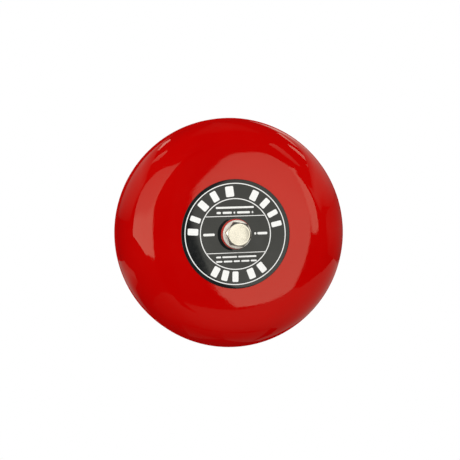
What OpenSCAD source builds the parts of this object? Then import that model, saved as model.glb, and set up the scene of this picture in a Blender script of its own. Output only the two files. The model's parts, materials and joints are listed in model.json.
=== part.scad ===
// Fire alarm bell: a pressed gong held by one bolt in front of a round housing.
// Inside the housing a small motor turns a crank, and its roller throws a spring-returned hammer.
// Wall face at Y = 0, gong axis along Y, front towards -Y, +Z up. Sizes in mm.
// Each sub-part is drawn in front view: X right, Y up, Z = distance from the wall.

/* [Gong] */
// Outside diameter at the rim
gong_d = 150; // [148:1:152]
// Depth from the front face to the rim
gong_depth = 28; // [27:0.5:29]
// Sheet thickness
gong_t = 2; // [1.6:0.1:2.2]
// Front face of the gong, from the wall
gong_front = 50;
// Radius of the flat that carries the label
flat_r = 38; // [36:0.5:40]
// Radius where the shoulder starts
shoulder_r = 52.5; // [51:0.5:54]
// Drop of the shallow crown between the flat and the shoulder
crown_drop = 0.4; // [0.3:0.05:0.5]

/* [Label] */
// Label radius
label_r = 33.5; // [30:0.1:34.5]
// Label thickness
label_t = 0.6; // [0.4:0.1:0.8]
// Hole in the label, so that the washer clamps the gong
label_hole_r = 9.35; // [9.3:0.05:10]
// How far to the left of the axis the label is stuck
label_slip = 0.3; // [0:0.05:0.3]

/* [Bolt] */
// Thread radius
bolt_r = 5;
// Width across flats
bolt_af = 14; // [13:0.5:16]
// Head height
bolt_head_h = 6.6; // [6:0.1:7]
// Flat washer radius
washer_r = 8.75; // [8.5:0.05:9]
// Flat washer thickness
washer_t = 1.8;
// Spring washer thickness
spring_washer_t = 2.2;
// Spring washer radius
spring_washer_r = 7.4; // [7:0.1:8]
// Play of the washers on the thread, to the right and down
washer_slip = 0.2; // [0:0.05:0.2]

/* [Housing] */
// Outside radius
housing_r = 54; // [53:0.5:55]
// Side wall thickness
housing_wall = 3; // [2.5:0.5:3]
// Front rim of the housing, from the wall
housing_front = 38;
// Rear face of the floor between wiring and mechanism
floor_back = 16;
// Floor thickness
floor_t = 2.5; // [2:0.5:3]
// Post radius
post_r = 10; // [9.5:0.5:10]
// Top of the post, from the wall
post_top = 46.5;

/* [Mounting plate] */
// Plate thickness
plate_t = 1.6;
// Distance between the two mounting slots
slot_pitch = 83.5;
// Slot width
slot_w = 4.6; // [4.2:0.2:5]
// Slot length
slot_l = 10; // [8:0.5:10]
// Height of the cable opening above the axis
cable_y = 18;
// Bore of the cable grommet
cable_r = 13; // [12:0.5:13.5]

/* [Mechanism] */
// Height of the motor axis
motor_y = -23.3;
// Motor can radius
motor_r = 12; // [11:0.5:12]
// Crank throw
throw_r = 10;
// Roller radius
roller_r = 2;
// Radius of the foot's round tip
foot_r = 2.2;
// How far the roller pushes the foot
lift = 0.8; // [0.6:0.1:0.8]
// Striker axis, from the wall
striker_z = 30;
// Striker rod radius
rod_r = 2.5;
// Radial running clearance of the rod and of the roller
running = 0.05; // [0.03:0.01:0.08]
// Gap between hammer tip and gong at rest
tip_gap = 3.9; // [3.6:0.1:4.2]

/* [Hidden] */
$fn = 72;

red = [0.72, 0.02, 0.02];
black = [0.08, 0.08, 0.09];
zinc = [0.75, 0.76, 0.74];
nickel = [0.86, 0.83, 0.76];
brass = [0.78, 0.62, 0.30];
rubber = [0.13, 0.13, 0.13];
cream = [0.86, 0.84, 0.78];
board_green = [0.10, 0.35, 0.16];
sleeve_blue = [0.10, 0.14, 0.35];
bright_blue = [0.15, 0.30, 0.62];
wire_red = [0.70, 0.05, 0.05];

gong_r = gong_d / 2;
gong_rim = gong_front - gong_depth;
// Shoulder arc: from slope_a at shoulder_r to slope_b just inside the rim
slope_a = 3;
slope_b = 87;
shoulder_end = gong_r - 0.8;
shoulder_z = gong_front - crown_drop;
arc_r = (shoulder_end - shoulder_r) / (sin(slope_b) - sin(slope_a));
arc_cr = shoulder_r - arc_r * sin(slope_a);
arc_cz = shoulder_z - arc_r * cos(slope_a);
// The crown falls as a power of the share of its width, so that it meets the arc at slope_a
crown_power = tan(slope_a) * (shoulder_r - flat_r) / crown_drop;

label_front = gong_front + label_t;
washer_front = gong_front + washer_t;
head_back = washer_front + spring_washer_t;
chamfer_r = bolt_af * 0.475;
washer_play = 0.35;
bolt_tip = 34;
insert_back = 33;
insert_r = 7;

housing_in = housing_r - housing_wall;
housing_back = 1;
floor_front = floor_back + floor_t;
gasket_t = 0.8;
cover_back = housing_front + gasket_t;
cover_t = 2.4;
boss_r = 4.8;
boss_at = 47.5;
side_screw_z = 8;
thirds = [90, 210, 330];
seat_r = 12;
// Radius of the holes that a cover screw passes and of the ones that it bites into
cover_hole_r = 1.8;
cover_pilot_r = 1.3;
// Spare holes of the plate
spare_r = 2.1;
spare_at = 36;
spare_angles = [20, 160, 200, 340];

well_r = motor_r + 2.5;
can_back = 9.6;
can_front = 24;
clamp_t = 1;
clamp_x = 17;
disc_back = 26;
disc_t = 2;
disc_r = 12;
// The roller stands 15 degrees plus a multiple of 30 away from the foot
crank_rest = 165;
shaft_r = 1;
pin_r = 1;

foot_y = motor_y - throw_r - roller_r - foot_r + lift;
collar_y = foot_y - 3.6;
bush_in = -(housing_in - 2);
bush_out = -(housing_r + 1);
stop_t = 1;
head_y = bush_out - stop_t - 0.3;
// Blunt cone of the hammer's tip
tip_r = 2;
tip_l = 2.4;
head_r = 5;
// Inner gong wall in front of the tip's flat, where it comes nearest
strike_r = arc_cr + sqrt(pow(arc_r - gong_t, 2) - pow(striker_z + tip_r - arc_cz, 2));
tip_y = tip_gap - strike_r;

collar_t = 1.2;
spring_turns = 5;
spring_wire = 0.35;
spring_r = 3.6;
spring_top = collar_y - collar_t - spring_wire;
spring_end = bush_in + spring_wire;
// Share of the spring's length that a flat end coil takes
flat_coil = 2.1 * spring_wire / (spring_top - spring_end);

block = [38, 12, 9];
rib_h = block[2] + 1.5;
terminal_pitch = 9;
terminal_bore = 1.3;
board = [20, 32, 1.2];
board_x = -35;
board_z = 14;
board_face = board_z - board[2];
board_screws = [-10, 10];
tag_x = 5;
tag = [2.2, 0.5, 5.6];
lead_r = 0.8;

function arc_points(r, a, b, steps) =
    [for (i = [0:steps]) let (t = a + (b - a) * i / steps) [arc_cr + r * sin(t), arc_cz + r * cos(t)]];
function crown_points(top, shares) =
    [for (t = shares) [flat_r + (shoulder_r - flat_r) * t, top - crown_drop * pow(t, crown_power)]];

// Point on a cubic curve through four control points
function bezier(p, t) =
    pow(1 - t, 3) * p[0] + 3 * t * pow(1 - t, 2) * p[1] + 3 * t * t * (1 - t) * p[2] + pow(t, 3) * p[3];
function curve(p, steps) = [for (i = [0:steps]) bezier(p, i / steps)];
function unit(v) = v / norm(v);

// Draws in front view: local Z becomes the distance from the wall
module facing() rotate([90, 0, 0]) children();
module at_z(z) translate([0, 0, z]) children();
module ring(r_out, r_in, z0, z1)
    difference() {
        at_z(z0) cylinder(r = r_out, h = z1 - z0);
        at_z(z0 - 1) cylinder(r = r_in, h = z1 - z0 + 2);
    }
module disc(r, z0, z1) at_z(z0) cylinder(r = r, h = z1 - z0);
// Bar along local Y, between two heights, centred on the striker's axis
module along_y(r, y0, y1) translate([0, y0, striker_z]) rotate([-90, 0, 0]) cylinder(r = r, h = y1 - y0);
module bar(size, at) translate(at) cube(size, center = true);

// Round tube along a list of points; side is a direction the path never follows
module tube(path, r, side, sides = 8) {
    last = len(path) - 1;
    rings = [
        for (i = [0:last])
            let (
                t = unit(path[min(i + 1, last)] - path[max(i - 1, 0)]),
                u = unit(cross(t, side)),
                v = cross(t, u)
            )
            for (k = [0:sides - 1]) path[i] + r * (cos(k * 360 / sides) * u + sin(k * 360 / sides) * v)
    ];
    walls = [
        for (i = [0:last - 1])
            for (k = [0:sides - 1])
                let (a = i * sides + k, b = i * sides + (k + 1) % sides)
                each [[a, b, b + sides], [a, b + sides, a + sides]]
    ];
    polyhedron(
        points = rings,
        faces = concat(
            walls,
            [[for (k = [sides - 1:-1:0]) k]],
            [[for (k = [0:sides - 1]) last * sides + k]]
        )
    );
}

// Cross-slotted pan head with its shank: head from z = 0 up, shank below
module pan_screw(head_r, head_h, shank_r, shank_l) {
    difference() {
        union() {
            cylinder(r = head_r, h = head_h * 0.55);
            at_z(head_h * 0.55) cylinder(r1 = head_r, r2 = head_r * 0.72, h = head_h * 0.45);
        }
        for (a = [0, 90])
            rotate(a) bar([head_r * 1.25, head_r * 0.26, head_h], [0, 0, head_h]);
    }
    at_z(-shank_l) cylinder(r = shank_r, h = shank_l);
}

module gong_profile()
    polygon(concat(
        [[bolt_r + 0.3, gong_front]],
        crown_points(gong_front, [0:0.25:0.75]),
        arc_points(arc_r, slope_a, slope_b, 28),
        [
            [gong_r, gong_rim + gong_t * 0.5],
            [gong_r - gong_t * 0.15, gong_rim + gong_t * 0.15],
            [gong_r - gong_t * 0.5, gong_rim],
            [gong_r - gong_t * 0.85, gong_rim + gong_t * 0.15],
            [gong_r - gong_t, gong_rim + gong_t * 0.5]
        ],
        arc_points(arc_r - gong_t, slope_b, slope_a, 28),
        crown_points(gong_front - gong_t, [0.75:-0.25:0]),
        [[bolt_r + 0.3, gong_front - gong_t]]
    ));

module gong() color(red) facing() rotate_extrude() gong_profile();

module label_plate()
    color(black) facing() translate([-label_slip, 0]) ring(label_r, label_hole_r, gong_front, label_front);

// Where the washers hang on the thread
module hung() translate([washer_slip, -washer_slip]) children();

module flat_washer()
    color(nickel) facing() hung() ring(washer_r, bolt_r + washer_play, gong_front, washer_front);

module spring_washer()
    color(nickel) facing() hung() difference() {
        ring(spring_washer_r, bolt_r + washer_play, washer_front, head_back);
        rotate(150) bar([6, 1, 8], [7, 0, washer_front]);
    }

module gong_bolt()
    color(nickel) facing() {
        intersection() {
            at_z(head_back) rotate(-11) cylinder(d = bolt_af / cos(30), h = bolt_head_h, $fn = 6);
            // 30 degree chamfer round the top
            at_z(head_back - 1)
                cylinder(r1 = chamfer_r + (bolt_head_h + 1) * 1.73, r2 = chamfer_r, h = bolt_head_h + 1);
        }
        disc(bolt_r, bolt_tip + 1, head_back);
        at_z(bolt_tip) cylinder(r1 = bolt_r - 1, r2 = bolt_r, h = 1);
    }

module gong_seat() color(rubber) facing() ring(seat_r, bolt_r + 0.5, post_top, gong_front - gong_t);

module thread_insert()
    color(brass) facing() ring(insert_r, bolt_r + running, insert_back, post_top);

module base_housing()
    color(black) facing() difference() {
        union() {
            ring(housing_r, housing_in, housing_back, housing_front);
            disc(housing_in + 0.5, floor_back, floor_front);
            disc(post_r, floor_back + 1, post_top);
            translate([0, motor_y]) disc(well_r, 8.3, floor_back + 1);
            for (a = thirds)
                rotate(a) translate([boss_at, 0]) disc(boss_r, floor_back + 1, housing_front - 0.5);
            for (x = [-clamp_x, clamp_x])
                translate([x, motor_y]) disc(3.5, floor_back + 1, can_front);
            for (y = board_screws) translate([board_x, y]) disc(2.5, board_z, floor_back + 1);
        }
        disc(insert_r, insert_back, post_top + 1);
        translate([0, motor_y]) {
            disc(motor_r + 0.1, can_back - 0.1, floor_front + 1);
            disc(motor_r - 1.5, 7, can_back + 1);
        }
        for (a = thirds) {
            rotate(a) translate([boss_at, 0]) disc(cover_pilot_r, housing_front - 12, housing_front + 1);
            rotate(a) translate([housing_in - 3, 0, side_screw_z])
                rotate([0, 90, 0]) cylinder(r = spare_r, h = housing_wall + 6);
        }
        for (x = [-clamp_x, clamp_x]) translate([x, motor_y]) disc(1.2, can_front - 6, can_front + 1);
        for (y = board_screws) translate([board_x, y]) disc(0.8, board_z - 1, floor_back + 1);
        along_y(5, -(housing_r + 4), -(housing_in - 4));
    }

module rear_gasket() color(rubber) facing() ring(housing_r - 0.3, housing_in + 0.3, 0, housing_back);

module mounting_plate()
    color(zinc) facing() difference() {
        union() {
            disc(housing_in - 0.3, 0, plate_t);
            for (a = thirds)
                rotate(a) bar([plate_t, 14, 12.4], [housing_in - 1.8, 0, 6.2]);
        }
        for (y = [-slot_pitch / 2, slot_pitch / 2]) {
            bar([slot_w, slot_l - slot_w, 4], [0, y, 1]);
            for (s = [-1, 1])
                translate([0, y + s * (slot_l - slot_w) / 2]) disc(slot_w / 2, -1, 3);
        }
        translate([0, cable_y]) disc(cable_r + 2, -1, 3);
        for (a = spare_angles) rotate(a) translate([spare_at, 0]) disc(spare_r, -1, 3);
        for (a = thirds)
            rotate(a) translate([housing_in - 5, 0, side_screw_z])
                rotate([0, 90, 0]) cylinder(r = 1.6, h = 8);
    }

module plate_grommet()
    color(rubber) facing() translate([0, cable_y]) {
        ring(cable_r + 2, cable_r, 0, plate_t);
        ring(cable_r + 4, cable_r, plate_t, plate_t + 1.4);
    }

module base_screw(i)
    color(zinc) facing() rotate(thirds[i - 1])
        translate([housing_r, 0, side_screw_z]) rotate([0, 90, 0]) pan_screw(3.6, 2.4, 1.6, 7);
module base_screw_1() base_screw(1);
module base_screw_2() base_screw(2);
module base_screw_3() base_screw(3);

module cover_gasket()
    color(rubber) facing() difference() {
        union() {
            ring(housing_r, housing_in, housing_front, cover_back);
            for (a = thirds) rotate(a) translate([boss_at, 0]) disc(boss_r, housing_front, cover_back);
        }
        for (a = thirds)
            rotate(a) translate([boss_at, 0]) disc(cover_hole_r, housing_front - 1, cover_back + 1);
    }

module mechanism_cover()
    color(black) facing() difference() {
        union() {
            disc(housing_r, cover_back, cover_back + cover_t);
            ring(post_r + 4, post_r + 1, cover_back + 1, cover_back + cover_t + 1);
        }
        disc(post_r + 0.4, cover_back - 1, cover_back + cover_t + 2);
        for (a = thirds)
            rotate(a) translate([boss_at, 0]) disc(cover_hole_r, cover_back - 1, cover_back + cover_t + 1);
    }

module cover_screw(i)
    color(zinc) facing() rotate(thirds[i - 1]) translate([boss_at, 0, cover_back + cover_t])
        pan_screw(3.1, 2, cover_pilot_r, 12);
module cover_screw_1() cover_screw(1);
module cover_screw_2() cover_screw(2);
module cover_screw_3() cover_screw(3);

module motor_can()
    color(zinc) facing() translate([0, motor_y]) difference() {
        union() {
            disc(motor_r, can_back, can_front - 1.5);
            at_z(can_front - 1.5) cylinder(r1 = motor_r, r2 = motor_r - 1, h = 1.5);
            disc(3, can_front - 1, can_front + 1);
        }
        disc(shaft_r + running, can_back - 1, can_front + 2);
    }

module motor_end_cap()
    color(black) facing() translate([0, motor_y]) difference() {
        disc(motor_r - 1.8, 7, can_back);
        for (x = [-tag_x, tag_x]) bar([tag[0], tag[1], 4], [x, 0, 8.5]);
        disc(shaft_r + 0.4, 6, can_back + 1);
    }

module motor_tag(x)
    color(brass) facing() translate([x, motor_y]) difference() {
        bar(tag, [0, 0, 4 + tag[2] / 2]);
        translate([0, 2, 4.8]) rotate([90, 0, 0]) cylinder(r = 0.5, h = 4);
    }
module motor_tag_1() motor_tag(-tag_x);
module motor_tag_2() motor_tag(tag_x);

module motor_clamp()
    color(zinc) facing() translate([0, motor_y]) difference() {
        union() {
            bar([2 * clamp_x, 9, clamp_t], [0, 0, can_front + clamp_t / 2]);
            for (x = [-clamp_x, clamp_x]) translate([x, 0]) disc(4.5, can_front, can_front + clamp_t);
        }
        disc(3.2, can_front - 1, can_front + 2);
        for (x = [-clamp_x, clamp_x]) translate([x, 0]) disc(1.4, can_front - 1, can_front + 2);
    }

module clamp_screw(x)
    color(zinc) facing() translate([x, motor_y, can_front + clamp_t]) pan_screw(2.6, 1.5, 1.2, 7);
module clamp_screw_1() clamp_screw(-clamp_x);
module clamp_screw_2() clamp_screw(clamp_x);

module motor_shaft() color(zinc) facing() translate([0, motor_y]) disc(shaft_r, 8, disc_back + disc_t + 1.5);

// Places the crank's parts at the stored angle, throw along local X
module on_crank() facing() translate([0, motor_y]) rotate(crank_rest) children();

module crank_disc()
    color(brass) on_crank() difference() {
        union() {
            disc(disc_r, disc_back, disc_back + disc_t);
            disc(3.4, can_front + 1.4, disc_back + disc_t + 1.2);
            // Counterweight opposite the roller
            intersection() {
                ring(disc_r - 1.4, 5, disc_back, disc_back + disc_t + 1);
                bar([9, 17, 12], [-9, 0, disc_back]);
            }
        }
        disc(shaft_r, can_front, disc_back + disc_t + 3);
        translate([throw_r, 0]) disc(pin_r, disc_back - 1, disc_back + disc_t + 1);
        for (y = [-6.5, 6.5]) translate([2.5, y]) disc(2.4, disc_back - 1, disc_back + disc_t + 1);
    }

module crank_pin()
    color(zinc) on_crank() translate([throw_r, 0]) {
        disc(pin_r, disc_back, disc_back + disc_t + 5.2);
        disc(roller_r - 0.3, disc_back + disc_t, disc_back + disc_t + 0.3);
    }

module roller()
    color(nickel) on_crank() translate([throw_r, 0])
        ring(roller_r, pin_r + running, disc_back + disc_t + 0.4, disc_back + disc_t + 4.2);

module roller_clip()
    color(zinc) on_crank() translate([throw_r, 0])
        ring(roller_r - 0.4, pin_r, disc_back + disc_t + 4.4, disc_back + disc_t + 4.9);

module striker_rod()
    color(nickel) facing() {
        along_y(rod_r, head_y - 6, foot_y - foot_r - 0.6);
        // flat neck with a round tip, in front of the crank disc
        bar([2 * foot_r, foot_r + 1.6, 3.2], [0, foot_y - foot_r / 2 - 0.8, striker_z + 0.2]);
        translate([0, foot_y]) disc(foot_r, striker_z - 1.4, striker_z + 1.8);
    }

module spring_collar()
    color(zinc) facing() difference() {
        along_y(4.6, collar_y - collar_t, collar_y);
        along_y(rod_r, collar_y - 3, collar_y + 3);
    }

// Share of the spring's length that is used up after n turns, with one flat coil at each end
function coil_share(n) =
    n < 1 ? flat_coil * n
    : n > spring_turns - 1 ? 1 - flat_coil * (spring_turns - n)
    : flat_coil + (1 - 2 * flat_coil) * (n - 1) / (spring_turns - 2);
function coil_point(n) = [
    spring_r * cos(360 * n),
    spring_top + (spring_end - spring_top) * coil_share(n),
    striker_z + spring_r * sin(360 * n)
];
module return_spring()
    color(zinc) facing() tube([for (i = [0:spring_turns * 20]) coil_point(i / 20)], spring_wire, [0, 1, 0]);

module guide_bush()
    color(brass) facing() difference() {
        union() {
            along_y(5, bush_out, bush_in);
            along_y(7, -(housing_in - 0.6), bush_in);
        }
        along_y(rod_r + running, bush_out - 1, bush_in + 1);
    }

module stop_ring()
    color(rubber) facing() difference() {
        along_y(5.5, bush_out - stop_t, bush_out);
        along_y(rod_r + 0.5, bush_out - stop_t - 1, bush_out + 1);
    }

module hammer_head()
    color(black) facing() difference() {
        union() {
            along_y(head_r, tip_y + tip_l, head_y);
            translate([0, tip_y, striker_z]) rotate([-90, 0, 0]) cylinder(r1 = tip_r, r2 = head_r, h = tip_l);
        }
        along_y(rod_r, head_y - 6, head_y + 1);
    }

module terminal_block()
    color(cream) facing() translate([0, cable_y, 0]) difference() {
        union() {
            bar([block[0], block[1], block[2] - 2], [0, 0, floor_back - (block[2] - 2) / 2]);
            // Ribs between the terminals
            for (i = [-2:2])
                bar([1.4, block[1], rib_h], [i * terminal_pitch, 0, floor_back - rib_h / 2]);
        }
        for (i = [-1.5:1.5]) translate([i * terminal_pitch, 0]) disc(terminal_bore, 4, floor_back - 1);
    }

module terminal_plate(i)
    color(brass) facing() translate([(i - 2.5) * terminal_pitch, cable_y]) difference() {
        bar([6.6, 9, 0.8], [0, 0, floor_back - block[2] + 1.6]);
        disc(terminal_bore, 4, floor_back);
    }
module terminal_plate_1() terminal_plate(1);
module terminal_plate_2() terminal_plate(2);
module terminal_plate_3() terminal_plate(3);
module terminal_plate_4() terminal_plate(4);

module terminal_screw(i)
    color(zinc) facing() translate([(i - 2.5) * terminal_pitch, cable_y, floor_back - block[2] + 1.2])
        rotate([180, 0, 0]) pan_screw(2.7, 1.6, terminal_bore, 6);
module terminal_screw_1() terminal_screw(1);
module terminal_screw_2() terminal_screw(2);
module terminal_screw_3() terminal_screw(3);
module terminal_screw_4() terminal_screw(4);

module circuit_board()
    color(board_green) facing() translate([board_x, 0]) difference() {
        bar(board, [0, 0, board_z - board[2] / 2]);
        for (y = board_screws) translate([0, y]) disc(1, board_z - 3, board_z + 1);
    }
module capacitor() color(sleeve_blue) facing() translate([board_x, 3]) disc(4, board_face - 8, board_face);
module diode()
    color(black) facing() translate([board_x + 6.5, -8, board_face - 1.4])
        rotate([-90, 0, 0]) cylinder(r = 1.4, h = 6);
module suppressor()
    color(bright_blue) facing() translate([board_x - 3, -6, board_face - 3.6])
        rotate([-90, 0, 0]) cylinder(r = 3.6, h = 2.6);
module board_screw(y)
    color(zinc) facing() translate([board_x, y, board_face]) rotate([180, 0, 0]) pan_screw(1.9, 1.3, 0.8, 3);
module board_screw_1() board_screw(board_screws[0]);
module board_screw_2() board_screw(board_screws[1]);

// Insulated wire along a cubic curve through four control points
module lead(p, c) color(c) facing() tube(curve(p, 22), lead_r, [0.02, 0.03, 1]);
module lead_red() lead([[-13.5, 14, 7.4], [-13.5, 6, 5.5], [-20, 4, 6], [-26.5, 3, 10.4]], wire_red);
module lead_black() lead([[13.5, 14, 7.4], [13.5, -2, 4], [16, -23, 5], [6.9, motor_y, 4.9]], black);
module lead_link() lead([[-27, -11, 10.4], [-22, -16, 6], [-14, motor_y, 5], [-6.9, motor_y, 4.9]], wire_red);

gong();
label_plate();
flat_washer();
spring_washer();
gong_bolt();
gong_seat();
thread_insert();
base_housing();
rear_gasket();
mounting_plate();
plate_grommet();
base_screw_1();
base_screw_2();
base_screw_3();
cover_gasket();
mechanism_cover();
cover_screw_1();
cover_screw_2();
cover_screw_3();
motor_can();
motor_end_cap();
motor_tag_1();
motor_tag_2();
motor_clamp();
clamp_screw_1();
clamp_screw_2();
motor_shaft();
crank_disc();
crank_pin();
roller();
roller_clip();
striker_rod();
spring_collar();
return_spring();
guide_bush();
stop_ring();
hammer_head();
terminal_block();
terminal_plate_1();
terminal_plate_2();
terminal_plate_3();
terminal_plate_4();
terminal_screw_1();
terminal_screw_2();
terminal_screw_3();
terminal_screw_4();
circuit_board();
capacitor();
diode();
suppressor();
board_screw_1();
board_screw_2();
lead_red();
lead_black();
lead_link();
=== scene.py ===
"""Fire alarm bell: a glossy red gong with a black label plate, over a black housing with its striker.

The scene is in metres in the CAD frame: wall at y = 0, gong towards -y, z up. Numbers for shapes are in mm.
"""
import json
import math

import bmesh
import bpy
from mathutils import Matrix, Vector


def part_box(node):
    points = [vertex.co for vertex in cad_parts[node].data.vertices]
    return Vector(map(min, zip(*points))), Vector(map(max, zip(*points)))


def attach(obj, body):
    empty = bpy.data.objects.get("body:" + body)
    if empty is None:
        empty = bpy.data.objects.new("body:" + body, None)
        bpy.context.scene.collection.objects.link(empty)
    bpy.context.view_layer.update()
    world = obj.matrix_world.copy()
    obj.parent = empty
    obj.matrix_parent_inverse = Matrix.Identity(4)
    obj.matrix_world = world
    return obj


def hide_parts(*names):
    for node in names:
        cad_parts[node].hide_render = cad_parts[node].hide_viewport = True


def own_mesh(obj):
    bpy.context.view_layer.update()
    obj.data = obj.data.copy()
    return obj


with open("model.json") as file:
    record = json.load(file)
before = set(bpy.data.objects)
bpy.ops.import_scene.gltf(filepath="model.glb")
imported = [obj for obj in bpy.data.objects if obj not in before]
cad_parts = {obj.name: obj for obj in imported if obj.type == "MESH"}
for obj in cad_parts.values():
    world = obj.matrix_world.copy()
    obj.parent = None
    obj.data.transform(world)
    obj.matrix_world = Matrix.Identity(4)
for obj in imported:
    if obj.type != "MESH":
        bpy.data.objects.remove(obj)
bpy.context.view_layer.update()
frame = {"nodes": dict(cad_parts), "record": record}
nodes = frame["nodes"]
MM = 0.001


# ---------------------------------------------------------------- node helpers
class Shader:
    """A Principled material and short ways to add nodes to it."""

    def __init__(self, name, color, roughness, metallic=0.0):
        self.mat = bpy.data.materials.new(name)
        self.mat.use_nodes = True
        self.tree = self.mat.node_tree
        self.bsdf = self.tree.nodes["Principled BSDF"]
        self.set("Base Color", (*color, 1))
        self.set("Metallic", metallic)
        self.set("Roughness", roughness)
        self.mat.diffuse_color = (*color, 1)

    def set(self, socket, value):
        self.bsdf.inputs[socket].default_value = value

    def node(self, kind, **settings):
        """A node with the given attributes or inputs."""
        made = self.tree.nodes.new("ShaderNode" + kind)
        for key, value in settings.items():
            if hasattr(made, key):
                setattr(made, key, value)
            else:
                made.inputs[key.replace("_", " ").title()].default_value = value
        return made

    def link(self, out, into):
        self.tree.links.new(out, into)

    def place(self):
        """Object coordinates, so patterns stay on a piece when it moves."""
        return self.node("TexCoord").outputs["Object"]

    def noise(self, scale, detail):
        made = self.node("TexNoise", scale=scale, detail=detail, roughness=0.55)
        self.link(self.place(), made.inputs["Vector"])
        return made.outputs["Fac"]

    def vary(self, socket, factor, low, high, start=0.35, end=0.65):
        """Runs a socket between two colours or two values, as a pattern goes from start to end."""
        made = self.node("ValToRGB")
        stops = made.color_ramp.elements
        stops[0].position, stops[1].position = start, end
        stops[0].color, stops[1].color = self.rgba(low), self.rgba(high)
        self.link(factor, made.inputs["Fac"])
        self.link(made.outputs["Color"], self.bsdf.inputs[socket])

    @staticmethod
    def rgba(value):
        return (*value, 1) if isinstance(value, tuple) else (value, value, value, 1)

    def bump(self, factor, strength, distance, edge=0.0):
        """Bump from a pattern, over edges rounded by the given radius."""
        made = self.node("Bump", strength=strength, distance=distance)
        self.link(factor, made.inputs["Height"])
        if edge:
            rounded = self.node("Bevel", samples=4, radius=edge)
            self.link(rounded.outputs["Normal"], made.inputs["Normal"])
        self.link(made.outputs["Normal"], self.bsdf.inputs["Normal"])


# ---------------------------------------------------------------- materials
def enamel():
    """Thick glossy red stove enamel: even colour, faint orange peel."""
    m = Shader("red_enamel", (0.50, 0.0, 0.0), 0.06)
    m.set("Specular Tint", (1.0, 0.95, 0.78, 1))
    m.vary("Base Color", m.noise(18, 3), (0.49, 0.0, 0.0), (0.52, 0.001, 0.0005))
    m.vary("Roughness", m.noise(240, 3), 0.025, 0.055)
    m.bump(m.noise(700, 2), 0.06, 0.00006)
    return m.mat


def label_black():
    """Gloss black print on the label sheet, a little cloudy."""
    m = Shader("label_black", (0.012, 0.012, 0.013), 0.05)
    m.vary("Base Color", m.noise(90, 4), (0.010, 0.011, 0.011), (0.017, 0.018, 0.018))
    m.vary("Roughness", m.noise(420, 3), 0.035, 0.065)
    m.bump(m.noise(60, 2), 0.03, 0.0003)
    return m.mat


def label_white():
    """Screen-printed white ink: slightly raised, a little uneven."""
    m = Shader("label_white", (0.86, 0.86, 0.83), 0.35)
    m.vary("Base Color", m.noise(600, 4), (0.92, 0.92, 0.88), (0.97, 0.97, 0.94))
    m.bump(m.noise(2500, 2), 0.1, 0.00003)
    return m.mat


def plated(name, light, dark, roughness, grain, edge=0.00025, height=0.00003, metallic=1.0):
    """Plated steel: fine grain, clouded plate, rounded edges."""
    m = Shader(name, light, roughness, metallic)
    m.vary("Base Color", m.noise(160, 5), dark, light, 0.25, 0.6)
    m.vary("Roughness", m.noise(grain, 5), roughness * 0.75, roughness * 1.35)
    m.bump(m.noise(grain * 2, 4), 0.12, height, edge)
    return m.mat


def painted(name, color, roughness, grain, height, edge=0.0004):
    """Moulded or powder-coated surface with a fine texture."""
    m = Shader(name, color, roughness)
    light = tuple(min(1.0, c * 1.35 + 0.004) for c in color)
    m.vary("Base Color", m.noise(60, 5), color, light)
    m.vary("Roughness", m.noise(grain, 4), roughness * 0.8, roughness * 1.2)
    m.bump(m.noise(grain * 1.6, 3), 0.35, height, edge)
    return m.mat


def board():
    """Solder mask with darker copper tracks under it."""
    m = Shader("board_green", (0.03, 0.22, 0.08), 0.3)
    lines = m.node("TexBrick", scale=120.0)
    m.link(m.place(), lines.inputs["Vector"])
    m.vary("Base Color", lines.outputs["Fac"], (0.03, 0.20, 0.07), (0.06, 0.32, 0.12), 0.2, 0.8)
    m.bump(m.noise(900, 2), 0.1, 0.00005)
    return m.mat


MATERIALS = {
    "red_enamel": enamel(),
    "label_black": label_black(),
    "nickel": plated("nickel", (0.80, 0.76, 0.69), (0.73, 0.69, 0.61), 0.15, 140,
                     edge=0, height=0.000001, metallic=0.92),
    "zinc": plated("zinc", (0.70, 0.71, 0.71), (0.60, 0.61, 0.62), 0.34, 260, height=0.00001),
    "motor_steel": plated("motor_steel", (0.62, 0.63, 0.64), (0.50, 0.51, 0.53), 0.28, 300),
    "spring_steel": plated("spring_steel", (0.52, 0.53, 0.55), (0.38, 0.38, 0.40), 0.25, 900, edge=0),
    "brass": plated("brass", (0.80, 0.62, 0.30), (0.66, 0.48, 0.20), 0.26, 420),
    "housing_black": painted("housing_black", (0.020, 0.020, 0.022), 0.42, 700, 0.00012),
    "black_plastic": painted("black_plastic", (0.022, 0.022, 0.024), 0.5, 900, 0.00008),
    "rubber": painted("rubber", (0.018, 0.018, 0.018), 0.75, 500, 0.00012),
    "terminal_cream": painted("terminal_cream", (0.62, 0.58, 0.48), 0.32, 600, 0.00005),
    "board_green": board(),
    "capacitor_sleeve": painted("capacitor_sleeve", (0.02, 0.03, 0.12), 0.28, 500, 0.00003),
    "suppressor_blue": painted("suppressor_blue", (0.03, 0.12, 0.36), 0.3, 500, 0.00005),
    "lead_red": painted("lead_red", (0.42, 0.01, 0.01), 0.38, 700, 0.00004, edge=0),
    "lead_black": painted("lead_black", (0.02, 0.02, 0.02), 0.38, 700, 0.00004, edge=0),
}
WHITE_INK = label_white()
# A lighter, mostly diffuse copy of the nickel for the flat washers: painted sheen, so their faces look as
# bright as the softbox makes them
NICKEL_PAINTED_LIT = plated("nickel_painted_lit", (0.97, 0.93, 0.85), (0.93, 0.88, 0.79), 0.26, 200,
                      edge=0, height=0.000002, metallic=0.3)
for part in frame["record"]["subparts"]:
    cad_mesh = nodes[part["node"]].data
    cad_mesh.materials.clear()
    cad_mesh.materials.append(MATERIALS[part["material_slot"]])


# ---------------------------------------------------------------- mesh helpers
def put(name, data):
    """Puts an object in the scene."""
    made = bpy.data.objects.new(name, data)
    bpy.context.scene.collection.objects.link(made)
    return made


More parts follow.
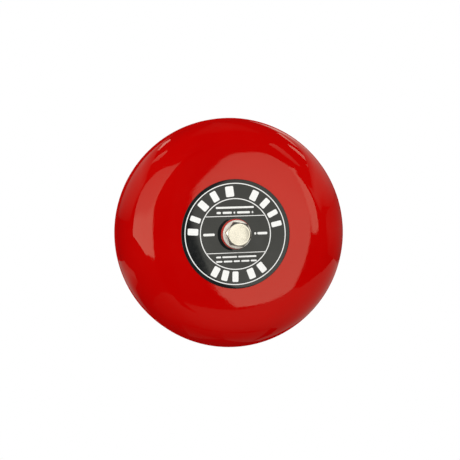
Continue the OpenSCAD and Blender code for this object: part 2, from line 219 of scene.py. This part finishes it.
def add(name, mesh, slot, body, replaces=(), material=None, smooth=40):
    """Puts a mesh in the scene as a piece that moves with a body."""
    made = put(name, mesh)
    mesh.materials.clear()
    mesh.materials.append(material or MATERIALS[slot])
    mesh.shade_smooth()
    mesh.set_sharp_from_angle(angle=math.radians(smooth))
    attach(made, body)
    if replaces:
        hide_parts(*replaces)
    return made


def quads(bm, rows, rows_closed=False, lines_closed=False):
    """Fills between neighbouring rows of verts; a closed set also joins its last to its first."""
    pairs = list(zip(rows, rows[1:]))
    if rows_closed:
        pairs.append((rows[-1], rows[0]))
    for here, there in pairs:
        for k in range(len(here) if lines_closed else len(here) - 1):
            n = (k + 1) % len(here)
            bm.faces.new((here[k], there[k], there[n], here[n]))


def spun(bm, r, a, h):
    """A vert at a radius and a height in mm and an angle in radians round local Z."""
    return bm.verts.new((r * MM * math.cos(a), r * MM * math.sin(a), h * MM))


def clean(bm):
    """Joins the verts in one place and drops the faces that collapse there."""
    bmesh.ops.remove_doubles(bm, verts=bm.verts, dist=1e-7)
    bmesh.ops.dissolve_degenerate(bm, edges=bm.edges, dist=1e-8)


def finish_mesh(name, bm):
    """A mesh with joined verts and outward normals."""
    bmesh.ops.remove_doubles(bm, verts=bm.verts, dist=1e-7)
    bmesh.ops.recalc_face_normals(bm, faces=bm.faces)
    mesh = bpy.data.meshes.new(name)
    bm.to_mesh(mesh)
    bm.free()
    return mesh


def lathe(name, profile, steps, matrix):
    """Turns (radius, height) points in mm round local Z. A closed outline gives a ring."""
    bm = bmesh.new()
    quads(bm, [[spun(bm, r, 2 * math.pi * i / steps, h) for r, h in profile] for i in range(steps)],
          rows_closed=True)
    clean(bm)
    bm.transform(matrix)
    return finish_mesh(name, bm)


def arc(cx, cy, r, start, end, steps):
    """Points on an arc, angles in degrees from +x."""
    return [
        (cx + r * math.cos(math.radians(start + (end - start) * i / steps)),
         cy + r * math.sin(math.radians(start + (end - start) * i / steps)))
        for i in range(steps + 1)
    ]


def facing(at=(0, 0, 0)):
    """Local Z to -Y, the way the gong faces, from a point in mm."""
    return Matrix.Translation(Vector(at) * MM) @ Matrix.Rotation(math.radians(90), 4, "X")


def back_and_front(node):
    """How far a piece's back and front are from the wall, in mm."""
    lo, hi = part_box(node)
    return -hi.y / MM, -lo.y / MM


def middle(node):
    """Centre of a piece's box seen from the front, in mm."""
    lo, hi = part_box(node)
    return (lo.x + hi.x) / 2 / MM, 0, (lo.z + hi.z) / 2 / MM


# ---------------------------------------------------------------- gong
GONG_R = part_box("gong")[1].x / MM
GONG_RIM, GONG_FRONT = back_and_front("gong")
GONG_HOLE_R = 5.3
SHEET = 2.0
FLAT_R, SHOULDER_R, CROWN_DROP = 38.0, 52.5, 0.4
# Slopes in degrees where the shoulder begins and ends, and how far the wall spreads below it
SLOPE_A, SLOPE_B = 3.0, 87.0
WALL_SPREAD = 0.8


def gong_mesh():
    """Flat seat, slightly falling crown, round shoulder and a rim with a rounded edge."""
    end_r = GONG_R - WALL_SPREAD
    r = (end_r - SHOULDER_R) / (math.sin(math.radians(SLOPE_B)) - math.sin(math.radians(SLOPE_A)))
    cr = SHOULDER_R - r * math.sin(math.radians(SLOPE_A))
    cz = GONG_FRONT - CROWN_DROP - r * math.cos(math.radians(SLOPE_A))
    # The crown meets the shoulder at the shoulder's first slope
    power = math.tan(math.radians(SLOPE_A)) * (SHOULDER_R - FLAT_R) / CROWN_DROP
    edge = SHEET / 2

    def crown(t):
        return FLAT_R + (SHOULDER_R - FLAT_R) * t, GONG_FRONT - CROWN_DROP * t ** power

    outside = [(GONG_HOLE_R, GONG_FRONT)]
    outside += [(FLAT_R * k / 4, GONG_FRONT) for k in range(1, 5)]
    outside += [crown(k / 16) for k in range(1, 16)]
    outside += arc(cr, cz, r, 90 - SLOPE_A, 90 - SLOPE_B, 80)
    rim = arc(GONG_R - edge, GONG_RIM + edge, edge, 0, -180, 12)
    inside = arc(cr, cz, r - SHEET, 90 - SLOPE_B, 90 - SLOPE_A, 48)
    inside += [(FLAT_R, GONG_FRONT - SHEET), (GONG_HOLE_R, GONG_FRONT - SHEET)]
    outline = outside + rim + inside
    outline.append(outline[0])
    return lathe("gong_enamel", outline, 256, facing())


add("gong_enamel", gong_mesh(), "red_enamel", "gong", ["gong"], smooth=30)

# ---------------------------------------------------------------- label sheet and its print
LABEL_X = middle("label_plate")[0]
LABEL_BACK, LABEL_FRONT = back_and_front("label_plate")
HOLE_R, SHEET_R, SHEET_EDGE = 9.35, 33.45, 0.2
CIRCLE_STEPS = 192
# The sheet is lifted a little round its hole, most of all on the left: by a slope that starts at LIFT_R
# from the point LIFT_AT, up to LIFT_H; nothing outside LIFT_END is lifted
LIFT_H, LIFT_R, LIFT_END = 0.16, 10.1, 13.0
LIFT_AT = (-1.6, -0.2)
LIFT_SLOPE = math.tan(math.radians(3.4))
LABEL_FLAT = LABEL_FRONT - LIFT_H


def label_sheet_mesh():
    """Thin disc with a hole, rounded outer edge and the lifted part round the hole."""
    lift_rows = 40
    bm = bmesh.new()
    loops = []

    def loop(radius, height, lift=False):
        circle = []
        for k in range(CIRCLE_STEPS):
            a = 2 * math.pi * k / CIRCLE_STEPS
            x, y = radius * math.cos(a) + LABEL_X, radius * math.sin(a)
            rise = 0.0
            if lift:
                near = math.hypot(x - LIFT_AT[0], y - LIFT_AT[1])
                rise = min(LIFT_H, max(0.0, LIFT_R - near) * LIFT_SLOPE)
            circle.append(bm.verts.new((x * MM, y * MM, (height + rise) * MM)))
        loops.append(circle)

    loop(HOLE_R, LABEL_BACK)
    for k in range(lift_rows):
        loop(HOLE_R + (LIFT_END - HOLE_R) * k / lift_rows, LABEL_FLAT, True)
    for radius in (LIFT_END, 18.0, 24.0, 30.0, SHEET_R - SHEET_EDGE - 0.05):
        loop(radius, LABEL_FLAT)
    for r, h in arc(SHEET_R - SHEET_EDGE, LABEL_FLAT - SHEET_EDGE, SHEET_EDGE, 70, 0, 4):
        loop(r, h)
    loop(SHEET_R, LABEL_BACK)
    quads(bm, loops, rows_closed=True, lines_closed=True)
    bm.transform(facing())
    return finish_mesh("label_sheet", bm)


add("label_sheet", label_sheet_mesh(), "label_black", "gong", ["label_plate"], smooth=50)

INK_H = 0.05
# The print sits a little to the left of the sheet's middle
PRINT_SLIP = -0.3
RING_OUT, RING_IN, RING_W = 30.9, 21.6, 0.55
CHORD_UP, CHORD_DOWN, CHORD_W = 10.95, -11.45, 0.42
# Plain bars round the label where a real one carries its wording: (angle, width)
BAR_R, BAR_H, BAR_CORNER = 26.1, 6.4, 0.7
UPPER = ((175.5, 4.0), (158.5, 3.2), (137.5, 4.2), (118, 4.0), (96.5, 5.0),
         (62.5, 4.2), (44.5, 3.6), (27, 3.1), (12, 3.1))
LOWER = ((240, 4.0), (254, 3.9), (268, 3.7), (290, 4.2), (306.5, 3.9))
# Lines of plain bars, one a word, the way small print reads from afar: (x, y, height, gap, widths)
SMALL_PRINT = (
    (0, 16.2, 1.15, 1.1, (23.4,)),
    (0, 13.1, 1.3, 1.1, (2.6, 5.6, 1.0, 8.0, 1.0)),
    (0, -13.9, 1.0, 0.8, (3.0, 9.0, 11.2)),
    (0, -16.6, 1.0, 0.9, (3.8, 5.2, 3.8, 5.0, 3.6)),
    (-16.4, 0, 1.5, 1.1, (7.0,)),
    (15.6, 0, 1.5, 0.7, (1.2, 6.2)),
)


def ink(name, bm):
    """Puts raised ink, drawn in mm on the label's plane, on the label."""
    bm.transform(Matrix.Scale(MM, 4))
    bm.transform(facing((LABEL_X + PRINT_SLIP, -LABEL_FLAT, 0)))
    add(name, finish_mesh(name, bm), "label_black", "gong", material=WHITE_INK, smooth=30)


def ring(bm, r, width):
    """A raised ring round the label's middle."""
    angles = [2 * math.pi * k / CIRCLE_STEPS for k in range(CIRCLE_STEPS)]
    inner, outer = r - width / 2, r + width / 2
    quads(bm, [[bm.verts.new((radius * math.cos(a), radius * math.sin(a), height)) for a in angles]
               for radius, height in ((inner, 0), (outer, 0), (outer, INK_H), (inner, INK_H))],
          rows_closed=True, lines_closed=True)


def bar(bm, wide, high, turn=0.0, at=(0, 0), corner=0.0):
    """A raised bar, square or with rounded corners, turned by some degrees and then moved."""
    c, s = math.cos(math.radians(turn)), math.sin(math.radians(turn))
    dx, dy = wide / 2 - corner, high / 2 - corner
    points = []
    for start, sx, sy in ((0, 1, 1), (90, -1, 1), (180, -1, -1), (270, 1, -1)):
        if corner:
            points += arc(sx * dx, sy * dy, corner, start, start + 90, 5)
        else:
            points.append((sx * dx, sy * dy))
    foot, top = (
        [bm.verts.new((x * c - y * s + at[0], x * s + y * c + at[1], height)) for x, y in points]
        for height in (0, INK_H)
    )
    quads(bm, [foot, top], lines_closed=True)
    bm.faces.new(foot)
    bm.faces.new(top)


def rings_and_lines():
    """The two rings, and the two lines that reach from side to side of the inner one."""
    bm = bmesh.new()
    for radius in (RING_OUT, RING_IN):
        ring(bm, radius, RING_W)
    for height in (CHORD_UP, CHORD_DOWN):
        half = math.sqrt(RING_IN ** 2 - height ** 2) - RING_W / 4
        bar(bm, half * 2, CHORD_W, at=(0, height))
    return bm


def blocks(bars):
    """The plain bars between the two rings."""
    bm = bmesh.new()
    for angle, wide in bars:
        a = math.radians(angle)
        bar(bm, wide, BAR_H, angle - 90, (BAR_R * math.cos(a), BAR_R * math.sin(a)), BAR_CORNER)
    return bm


def small_print():
    """The lines of small bars in the inner ring."""
    bm = bmesh.new()
    for x, y, height, gap, words in SMALL_PRINT:
        x -= (sum(words) + gap * (len(words) - 1)) / 2
        for word in words:
            bar(bm, word, height, at=(x + word / 2, y), corner=height * 0.4)
            x += word + gap
    return bm


ink("label_rings", rings_and_lines())
ink("label_blocks_upper", blocks(UPPER))
ink("label_blocks_lower", blocks(LOWER))
ink("label_small_print", small_print())

# ---------------------------------------------------------------- bolt and washers
WASHER_HOLE_R, WASHER_R, SPRING_WASHER_R = 5.35, 8.75, 7.4
BOLT_TIP, BOLT_FRONT = back_and_front("gong_bolt")
# The hexagon: width across flats, turn in degrees, and the top circle as a share of the width
HEAD_AF, HEAD_TURN, HEAD_FLAT = 14.0, -11.0, 0.475
# The M10 thread: outer radius, pitch, depth, plain neck above it and tapered tip
THREAD_R, PITCH, THREAD_DEPTH, NECK, TAPER = 4.98, 1.5, 0.75, 4.0, 2.0


def washer_profile(r_in, r_out, z0, z1, edge, dome=0.0):
    """Closed outline of a flat ring with rounded edges, its front falling by dome to the outer edge."""
    points = [
        (r_in + edge + (r_out - r_in - 2 * edge) * k / 6, z1 - dome * (k / 6) ** 2)
        for k in range(1, 6)
    ]
    points += arc(r_out - edge, z1 - dome - edge, edge, 90, 0, 5)
    points += arc(r_out - edge, z0 + edge, edge, 0, -90, 5)
    points += arc(r_in + edge, z0 + edge, edge, 270, 180, 5)
    points += arc(r_in + edge, z1 - edge, edge, 180, 90, 5)
    points.append(points[0])
    return points


def flat_washer_mesh():
    """Plain ring with rounded edges, very slightly domed."""
    profile = washer_profile(WASHER_HOLE_R, WASHER_R, *back_and_front("flat_washer"), edge=0.45, dome=0.08)
    return lathe("flat_washer_plated", profile, 128, facing(middle("flat_washer")))


def spring_washer_mesh():
    """One turn of square wire with a slanted gap."""
    z0, z1 = back_and_front("spring_washer")
    profile = washer_profile(WASHER_HOLE_R, SPRING_WASHER_R, z0, z1, 0.5)[:-1]
    bm = bmesh.new()
    # The gap's width and start in degrees; its two ends lean by most of its width
    steps, gap, start = 96, 7.0, 153.5
    loops = []
    for i in range(steps + 1):
        loop = []
        for r, h in profile:
            lean = gap * (0.5 - (h - z0) / (z1 - z0)) * 0.8
            a = math.radians(start + (360 - gap) * i / steps + (lean if i in (0, steps) else 0))
            loop.append(spun(bm, r, a, h))
        loops.append(loop)
    quads(bm, loops, lines_closed=True)
    bm.faces.new(loops[0])
    bm.faces.new(list(reversed(loops[-1])))
    # The washers hang together; the gap makes this one's own box lopsided
    bm.transform(facing(middle("flat_washer")))
    return finish_mesh("spring_washer_plated", bm)


def bolt_mesh():
    """Hexagon head with a turned chamfer and a slightly hollow top."""
    z0 = back_and_front("spring_washer")[1]
    top = BOLT_FRONT
    flat_r = HEAD_AF * HEAD_FLAT
    bm = bmesh.new()
    steps = 144

    def hex_radius(a):
        local = (math.degrees(a) - HEAD_TURN) % 60 - 30
        edge_r = HEAD_AF / 2 / math.cos(math.radians(local))
        # Corners rounded a little
        return min(edge_r, HEAD_AF / 2 / math.cos(math.radians(30)) - 0.12)

    def level(a, share):
        """Point of the 30 degree chamfer at share of the way from the top circle to the hexagon."""
        r = flat_r + (hex_radius(a) - flat_r) * share
        return r, top - (r - flat_r) * math.tan(math.radians(30))

    rows = []
    for i in range(steps):
        a = 2 * math.pi * i / steps
        points = [(0.0, top - 0.12), (2.5, top - 0.12), (flat_r - 0.9, top - 0.05), (flat_r - 0.25, top)]
        points += [(flat_r, top - 0.04)]
        points += [level(a, s) for s in (0.25, 0.5, 0.75, 0.94)]
        r_hex = hex_radius(a)
        chamfer = level(a, 1.0)[1]
        points += [(r_hex, chamfer - 0.18), (r_hex, (chamfer + z0) / 2), (r_hex, z0 + 0.2)]
        points += [(r_hex - 0.2, z0 + 0.02), (5.0, z0)]
        rows.append([spun(bm, r, a, z) for r, z in points])
    quads(bm, rows, rows_closed=True)
    clean(bm)
    bm.transform(facing())
    return finish_mesh("hex_bolt", bm)


def thread_mesh():
    """M10 shank: a plain neck, then a helical thread with a tapered tip."""
    z_top = back_and_front("spring_washer")[1]
    z_neck = z_top - NECK
    per_turn = 48
    bm = bmesh.new()
    rows = []
    levels = int((z_neck - BOLT_TIP) / PITCH * 8)
    heights = [z_top + 0.2, z_neck]
    heights += [z_neck - (z_neck - BOLT_TIP) * k / levels for k in range(1, levels + 1)]
    for i in range(per_turn):
        row = []
        for h in heights:
            phase = ((h - BOLT_TIP) / PITCH - i / per_turn) % 1.0
            cut = THREAD_DEPTH * (1 - abs(2 * phase - 1))
            # The thread comes in over its first turn
            fade = min(1.0, max(0.0, (z_neck - h) / PITCH))
            r = THREAD_R - cut * fade - max(0.0, (BOLT_TIP + TAPER - h) / TAPER) * 0.9
            row.append(spun(bm, r, 2 * math.pi * i / per_turn, h))
        rows.append(row)
    quads(bm, rows, rows_closed=True)
    bm.faces.new([row[-1] for row in rows])
    bm.faces.new([row[0] for row in reversed(rows)])
    bm.transform(facing())
    return finish_mesh("bolt_thread", bm)


# The washers wear the lighter copy of the nickel: painted sheen on their flat faces
add("flat_washer_plated", flat_washer_mesh(), "nickel", "washers", ["flat_washer"], NICKEL_PAINTED_LIT)
add("spring_washer_plated", spring_washer_mesh(), "nickel", "washers", ["spring_washer"], NICKEL_PAINTED_LIT)
add("hex_bolt", bolt_mesh(), "nickel", "bolt", ["gong_bolt"], smooth=25)
add("bolt_thread", thread_mesh(), "nickel", "bolt")

# ---------------------------------------------------------------- return spring
SPRING_TURNS, WIRE_R = 5, 0.35
# Drop of each end turn, in radii of the wire: the end turns lie nearly on their neighbours
END_PITCH = 2.1


def coil_share(turn, flat):
    """How far down the coil a turn is: the first and last turns lie nearly flat."""
    if turn <= 1:
        return flat * turn
    if turn >= SPRING_TURNS - 1:
        return 1 - flat * (SPRING_TURNS - turn)
    return flat + (1 - 2 * flat) * (turn - 1) / (SPRING_TURNS - 2)


def spring_mesh():
    """Round wire wound between the rod's collar and the guide bush."""
    lo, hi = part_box("return_spring")
    wire = WIRE_R * MM
    radius = (hi.x - lo.x) / 2 - wire
    centre = (lo + hi) / 2
    top, bottom = hi.z - wire, lo.z + wire
    flat = END_PITCH * wire / (top - bottom)
    per_turn, sides = 40, 12
    steps = SPRING_TURNS * per_turn
    path = []
    for i in range(steps + 1):
        a = 2 * math.pi * i / per_turn
        height = top + (bottom - top) * coil_share(i / per_turn, flat)
        path.append(Vector((centre.x + radius * math.cos(a), centre.y - radius * math.sin(a), height)))
    bm = bmesh.new()
    loops = []
    for i, at in enumerate(path):
        along = (path[min(i + 1, steps)] - path[max(i - 1, 0)]).normalized()
        outward = Vector((at.x - centre.x, at.y - centre.y, 0)).normalized()
        across = along.cross(outward).normalized()
        outward = across.cross(along)
        loops.append([
            bm.verts.new(at + wire * (math.cos(b) * outward + math.sin(b) * across))
            for b in (2 * math.pi * k / sides for k in range(sides))
        ])
    quads(bm, loops, lines_closed=True)
    bm.faces.new(loops[0])
    bm.faces.new(list(reversed(loops[-1])))
    return finish_mesh("return_spring_coil", bm)


spring = add("return_spring_coil", spring_mesh(), "spring_steel", "housing", ["return_spring"], smooth=60)
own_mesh(spring)

# ---------------------------------------------------------------- camera
CAMERA_DISTANCE = 0.350
CAMERA_AZIMUTH, CAMERA_ELEVATION, CAMERA_ROLL = -8.6, 2.1, -1.715
CAMERA_LENS = 44.9
AIM = Vector((-4.04, -LABEL_FRONT, 2.58)) * MM


def direction(azimuth, elevation):
    """Unit vector away from the bell: azimuth 0 is straight out from the gong."""
    a, e = math.radians(azimuth), math.radians(elevation)
    return Vector((math.sin(a) * math.cos(e), -math.cos(a) * math.cos(e), math.sin(e)))


def make_camera():
    """The camera goes round the label's middle and looks a little beside it."""
    data = bpy.data.cameras.new("camera")
    data.lens = CAMERA_LENS
    data.sensor_width = 36.0
    data.clip_start = 0.01
    made = put("camera", data)
    label = Vector((0, -LABEL_FRONT, 0)) * MM
    made.location = label + direction(CAMERA_AZIMUTH, CAMERA_ELEVATION) * CAMERA_DISTANCE
    look = (AIM - made.location).to_track_quat("-Z", "Y")
    roll = Matrix.Rotation(math.radians(CAMERA_ROLL), 3, "Z")
    made.rotation_euler = (look.to_matrix() @ roll).to_euler()
    bpy.context.scene.camera = made


# ---------------------------------------------------------------- stage and light
def glow(name, color, strength):
    """Plain emission, or emission as strong as the mesh's own glow attribute says."""
    mat = bpy.data.materials.new(name)
    mat.use_nodes = True
    tree = mat.node_tree
    tree.nodes.clear()
    out = tree.nodes.new("ShaderNodeOutputMaterial")
    lamp = tree.nodes.new("ShaderNodeEmission")
    lamp.inputs["Color"].default_value = (*color, 1)
    if strength is None:
        attribute = tree.nodes.new("ShaderNodeAttribute")
        attribute.attribute_name = "glow"
        tree.links.new(attribute.outputs["Fac"], lamp.inputs["Strength"])
    else:
        lamp.inputs["Strength"].default_value = strength
    tree.links.new(lamp.outputs["Emission"], out.inputs["Surface"])
    mat.cycles.emission_sampling = "NONE"
    return mat


CARD_LIGHT = glow("card_light", (1.0, 0.985, 0.87), None)
RED_GLOW = glow("red_glow", (1.0, 0.02, 0.015), None)
CARD_DISTANCE = 8.0
# The cards' angles are for a camera at this azimuth and elevation; the whole set turns with the camera
CARD_AZIMUTH, CARD_ELEVATION = -7.0, 1.5
CARD_TURN, CARD_TILT = CARD_AZIMUTH - CAMERA_AZIMUTH, CARD_ELEVATION - CAMERA_ELEVATION
# Left, right, bottom and top of the dark shape round the camera, and how far it is behind it, in metres
SHADE_SIDES, SHADE_BEHIND = (-0.030, 0.014, -0.200, 0.200), 0.01
# Azimuth, elevation, distance, side and power of the key light
KEY_AZIMUTH, KEY_ELEVATION, KEY_DISTANCE, KEY_SIZE, KEY_POWER = -10, 25, 1.4, 1.2, 11
FLOOR_SIDE, FLOOR_HEIGHT = 3.0, -0.30


def reflected_only(made):
    """Keeps a studio piece out of everything but mirror images."""
    made.visible_camera = False
    made.visible_diffuse = False
    made.visible_shadow = False
    made.visible_transmission = False


def four_corners(name, corners, material):
    """One flat face in the scene."""
    mesh = bpy.data.meshes.new(name)
    mesh.from_pydata(corners, [], [(0, 1, 2, 3)])
    mesh.materials.append(material)
    return put(name, mesh)


def card(name, columns, rows, gain=None, light=CARD_LIGHT):
    """A soft light that only reflections see, on a far sphere round the bell.

    columns: (azimuth, lowest elevation, highest elevation); rows: (share of the height, strength);
    gain: one factor a column, for a light that is stronger at one end.
    """
    bm = bmesh.new()
    strength_layer = bm.verts.layers.float.new("glow")
    grid = []
    for i, (azimuth, lowest, highest) in enumerate(columns):
        line = []
        for share, strength in rows:
            elevation = lowest + (highest - lowest) * share + CARD_TILT
            vert = bm.verts.new(direction(azimuth + CARD_TURN, elevation) * CARD_DISTANCE)
            vert[strength_layer] = strength * (gain[i] if gain else 1.0)
            line.append(vert)
        grid.append(line)
    quads(bm, grid)
    mesh = bpy.data.meshes.new(name)
    bm.to_mesh(mesh)
    bm.free()
    mesh.materials.append(light)
    reflected_only(put(name, mesh))


def camera_shade():
    """The dark camera and its stand, which the polished pieces mirror."""
    at = bpy.context.scene.camera.location
    left, right, bottom, top = SHADE_SIDES
    corners = ((left, bottom), (right, bottom), (right, top), (left, top))
    reflected_only(four_corners("camera_shade", [at + Vector((x, -SHADE_BEHIND, z)) for x, z in corners],
                                glow("dark", (0, 0, 0), 0.0)))


def key_light():
    """A large soft light from the front and above, kept out of the reflections."""
    data = bpy.data.lights.new("key", "AREA")
    data.energy = KEY_POWER
    data.shape = "SQUARE"
    data.size = KEY_SIZE
    made = put("key", data)
    away = direction(KEY_AZIMUTH, KEY_ELEVATION)
    made.location = away * KEY_DISTANCE
    made.rotation_euler = (-away).to_track_quat("-Z", "Y").to_euler()
    made.visible_glossy = False


def make_world(sky, fill, gloss):
    """White behind the object, soft fill on it, and a dim room in its reflections."""
    world = bpy.data.worlds.new("studio")
    bpy.context.scene.world = world
    world.use_nodes = True
    tree = world.node_tree
    shade = tree.nodes["Background"]
    path = tree.nodes.new("ShaderNodeLightPath")
    first = tree.nodes.new("ShaderNodeMix")
    first.inputs["A"].default_value = fill
    first.inputs["B"].default_value = gloss
    second = tree.nodes.new("ShaderNodeMix")
    second.inputs["B"].default_value = sky
    tree.links.new(path.outputs["Is Glossy Ray"], first.inputs["Factor"])
    tree.links.new(path.outputs["Is Camera Ray"], second.inputs["Factor"])
    tree.links.new(first.outputs["Result"], second.inputs["A"])
    tree.links.new(second.outputs["Result"], shade.inputs["Strength"])
    shade.inputs["Color"].default_value = (1, 1, 1, 1)


def make_floor():
    """Plain white floor, well below the bell, that lights nothing."""
    side, height = FLOOR_SIDE, FLOOR_HEIGHT
    corners = [(-side, -side, height), (side, -side, height), (side, side, height), (-side, side, height)]
    made = four_corners("floor", corners, glow("floor_white", (1, 1, 1), 1.0))
    made.visible_glossy = False
    made.visible_diffuse = False


make_camera()
make_world(sky=1.0, fill=0.62, gloss=0.012)
make_floor()
key_light()
camera_shade()
# The big softbox in front, its bright edge and the streak beside it
card("front_box", [(2.4, -0.5, 2.5), (3.3, -3.5, 5.2), (4.2, -6, 7.6), (5.2, -8.5, 9.8), (6.5, -12, 11.2),
                   (13, -11.8, 12.6), (16, -10.5, 12), (17.4, -5, 8), (18.4, -1.5, 3)],
     ((0, 1.55), (0.5, 1.35), (1, 1.0)))
card("front_strip", [(17.3, 8.6, 12.5), (18.1, 4.5, 11.5), (18.8, -1.5, 10), (20.0, -1.8, 8), (21.2, -1, 5)],
     ((0, 1.8), (1, 1.8)))
card("front_streak", [(16.5, 8, 10), (20, 10.5, 12.5), (24, 14, 15.5)], ((0, 1.6), (1, 1.6)))
# The panel to the left, brightest at its foot
card("left_panel", [(-61.5, -1, 24), (-58, -1.5, 29), (-45, -4.5, 34), (-35, -6.5, 33), (-26, -8, 30),
                    (-18, -6.5, 25.5), (-10, -5.5, 21), (-6.5, -5, 15.5), (-5, -4.6, 9), (-4, -4.6, 9)],
     ((0, 2.1), (0.32, 1.9), (0.44, 1.2), (1, 0.8)))
# Table, floor and ceiling
card("floor_glow", [(-90, -60, -45), (-60, -60, -38), (-30, -60, -26), (-20, -60, -21), (-10, -60, -16),
                    (-3, -60, -13), (7, -60, -13), (17, -60, -10.5), (30, -60, -16), (60, -60, -20),
                    (90, -60, -15), (120, -60, -12), (150, -60, -8)],
     ((0, 0.08), (0.4, 0.16), (1, 0.2)), (0.2, 0.3, 0.5, 0.7, 0.9, 1, 1.1, 1.1, 1.2, 1.5, 2, 2.2, 2))
card("floor_under", [(-150, -88, -60), (-60, -88, -60), (0, -88, -60), (60, -88, -60), (150, -88, -60)],
     ((0, 0.07), (1, 0.08)), (1, 0.4, 1, 1.5, 1.8))
card("ceiling", [(-180, 66, 88), (-60, 70, 88), (0, 68, 88), (60, 62, 88), (180, 60, 88)],
     ((0, 0.04), (1, 0.09)))
# Walls and lamps at the sides
card("right_wall", [(26, 5, 10), (34, 4, 12), (45, 8, 20), (70, 10, 34), (100, 12, 42), (138, 10, 48)],
     ((0, 0.1), (0.4, 0.4), (0.7, 0.5), (1, 0.15)), (0.8, 0.9, 0.9, 1, 1.2, 1.3))
card("right_low", [(46, -4, 3), (60, -12, 8), (90, -15, 12), (135, -12, 12)],
     ((0, 0.05), (0.5, 0.16), (1, 0.1)))
card("right_lamp_1", [(31, 27, 40), (36, 24, 44), (42, 26, 45)], ((0, 0.35), (1, 0.7)))
card("right_lamp_2", [(75, 38, 48), (81, 34, 50), (88, 34, 46)], ((0, 1.8), (1, 2.2)))
card("right_lamp_3", [(103, 38, 46), (115, 38, 51), (128, 42, 50)], ((0, 1.4), (1, 2.0)))
card("right_lamp_4", [(63, 25, 33), (70, 24, 34)], ((0, 0.8), (1, 0.8)))
card("left_wall", [(-64, 22, 33), (-75, 8, 40), (-90, 8, 48), (-120, 8, 50), (-152, 6, 45)],
     ((0, 0.05), (0.35, 0.3), (0.7, 0.45), (1, 0.15)), (0.7, 0.8, 1, 1.1, 1.2))
card("left_low", [(-86, -29, -22), (-115, -30, -14), (-165, -30, -6)], ((0, 0.1), (0.6, 0.4), (1, 0.3)))
card("left_lamp_1", [(-145, 42, 52), (-135, 38, 56), (-122, 42, 52)], ((0, 1.8), (1, 2.2)))
card("left_lamp_2", [(-118, 40, 46), (-104, 42, 50)], ((0, 2.0), (1, 1.8)))
card("left_lamp_3", [(-92, 44, 52), (-80, 48, 58), (-70, 48, 56)], ((0, 0.5), (1, 1.3)))
# Bright wall behind, seen at the rim, and the gong's own red, thrown back at it
card("back_right", [(138, 14, 46), (150, 14, 44), (160, 14, 42), (168, 14, 40)],
     ((0, 0.1), (0.4, 1.0), (0.85, 1.5), (1, 0.7)), (1, 0.9, 0.5, 0.2))
card("back_left", [(194, 12, 44), (204, 12, 44), (215, 14, 42)],
     ((0, 0.1), (0.4, 1.0), (0.85, 1.5), (1, 0.7)), (0.2, 0.4, 0.5))
card("back_red", [(140, -50, 14), (168, -50, 50), (194, -50, 50), (220, -50, 12)],
     ((0, 0.2), (0.4, 0.42), (1, 0.42)), light=RED_GLOW)
bpy.context.scene.view_settings.view_transform = "Standard"
